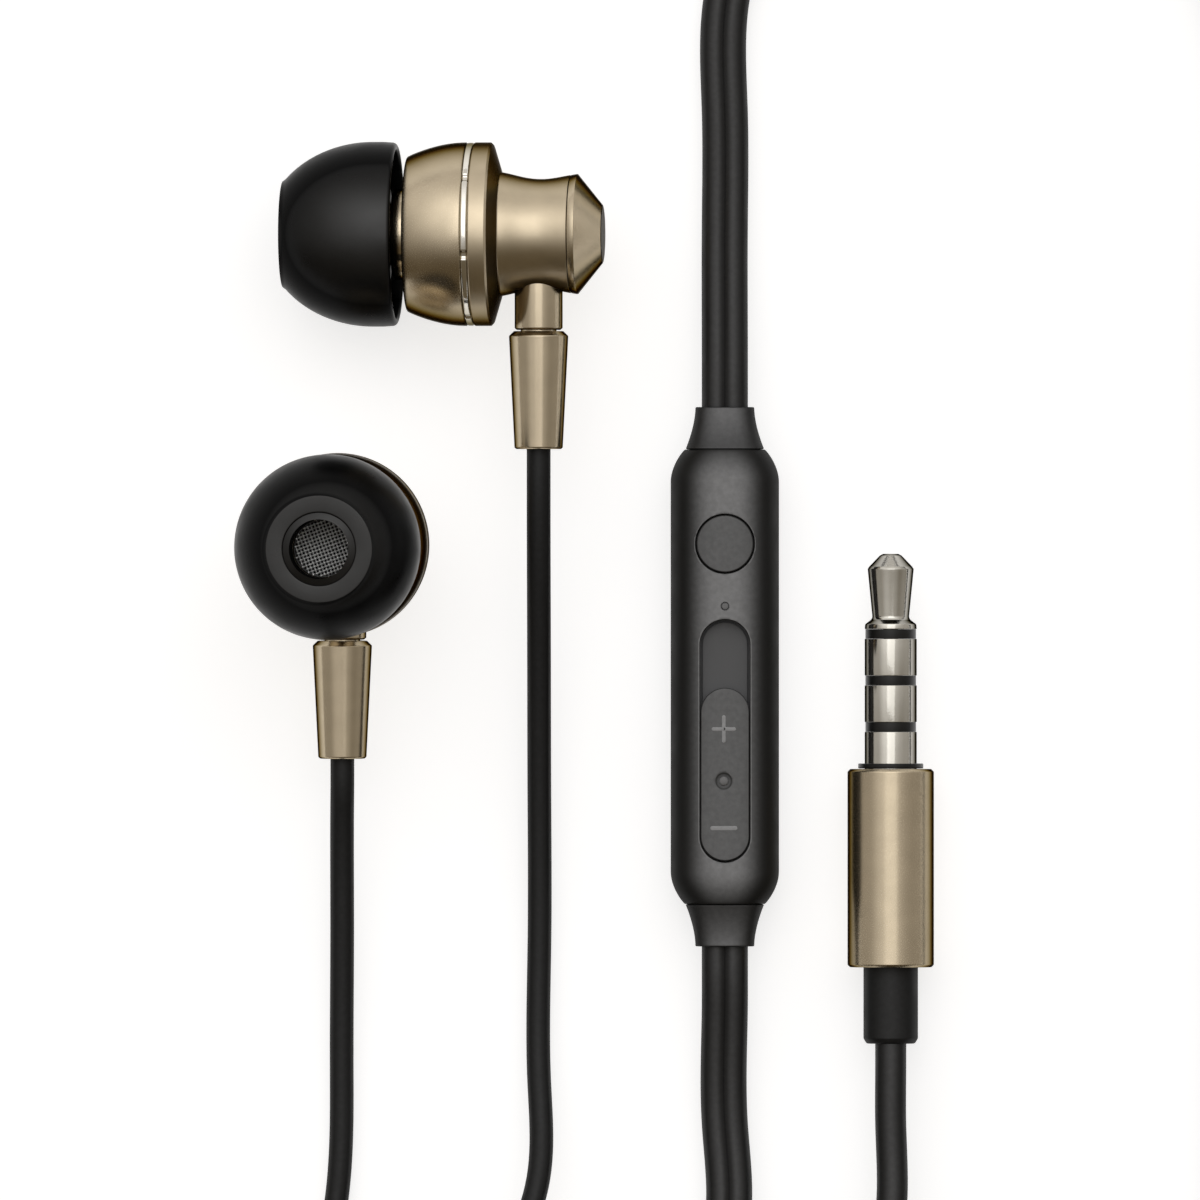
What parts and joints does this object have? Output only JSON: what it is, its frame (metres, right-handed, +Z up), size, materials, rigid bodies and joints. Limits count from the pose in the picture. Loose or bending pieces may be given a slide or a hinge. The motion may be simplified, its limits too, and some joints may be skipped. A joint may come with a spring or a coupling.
{
  "type": "wired earphones",
  "caption": "Wired in-ear earphones with metal housings, silicone tips, an inline remote with call key and volume slider, and a 3.5 mm plug.",
  "frame": {"origin": "centre of the remote's flat back, on the surface that the earphones lie on", "axes": "+Z up from the surface, +Y along the remote from its volume slider towards its call button, +X to the right of it"},
  "size_m": [0.0681, 0.1345, 0.022],
  "materials": {
    "champagne_aluminium": "fine satin champagne anodising",
    "polished_trim": "polished bright edge",
    "nickel_plating": "smooth nickel plating",
    "woven_steel": "fine woven mesh",
    "brass_contact": "stamped contact",
    "black_silicone": "matte silicone",
    "satin_black_plastic": "satin moulded black",
    "black_elastomer": "satin elastomer jacket",
    "circuit_board": "solder-masked laminate",
    "diaphragm_film": "thin film"
  },
  "bodies": {
    "root": {"left_ear_tip": "black_silicone", "left_front_shell": "champagne_aluminium", "left_nozzle_mesh": "woven_steel", "left_trim_ring": "polished_trim", "left_rear_shell": "champagne_aluminium", "left_end_cap": "champagne_aluminium", "left_stem_tube": "champagne_aluminium", "left_stem_sleeve": "champagne_aluminium", "left_driver_basket": "nickel_plating", "left_driver_magnet": "nickel_plating", "left_driver_diaphragm": "diaphragm_film", "left_lead_upper": "black_elastomer", "left_lead_coil": "black_elastomer", "left_lead_lower": "black_elastomer", "right_ear_tip": "black_silicone", "right_front_shell": "champagne_aluminium", "right_nozzle_mesh": "woven_steel", "right_trim_ring": "polished_trim", "right_rear_shell": "champagne_aluminium", "right_end_cap": "champagne_aluminium", "right_stem_tube": "champagne_aluminium", "right_stem_sleeve": "champagne_aluminium", "right_driver_basket": "nickel_plating", "right_driver_magnet": "nickel_plating", "right_driver_diaphragm": "diaphragm_film", "right_lead_upper": "black_elastomer", "right_lead_coil": "black_elastomer", "right_lead_lower": "black_elastomer", "remote_back_shell": "satin_black_plastic", "remote_front_shell": "satin_black_plastic", "remote_relief_upper": "black_elastomer", "remote_relief_lower": "black_elastomer", "slide_potentiometer": "satin_black_plastic", "circuit_board": "circuit_board", "microphone": "nickel_plating", "dome_switch": "nickel_plating", "plug_tip": "nickel_plating", "plug_insulator_1": "satin_black_plastic", "plug_ring_1": "nickel_plating", "plug_insulator_2": "satin_black_plastic", "plug_ring_2": "nickel_plating", "plug_insulator_3": "satin_black_plastic", "plug_sleeve": "nickel_plating", "plug_collar": "satin_black_plastic", "plug_barrel": "champagne_aluminium", "plug_relief": "black_elastomer", "splitter": "black_elastomer", "upper_cord": "black_elastomer", "lower_cord": "black_elastomer", "plug_cord": "black_elastomer", "cord_coil": "black_elastomer"},
    "call_button": {"call_button": "satin_black_plastic"},
    "volume_slider": {"volume_slider": "satin_black_plastic", "slider_wiper": "brass_contact"}
  },
  "joints": [
    {"name": "call_button_press", "type": "slide", "parent": "root", "child": "call_button", "axis": [0, 0, -1], "range_m": [0, 0.0003], "stiffness_N_per_m": 3000},
    {"name": "volume_slide", "type": "slide", "parent": "root", "child": "volume_slider", "axis": [0, 1, 0], "range_m": [0, 0.00449]}
  ]
}
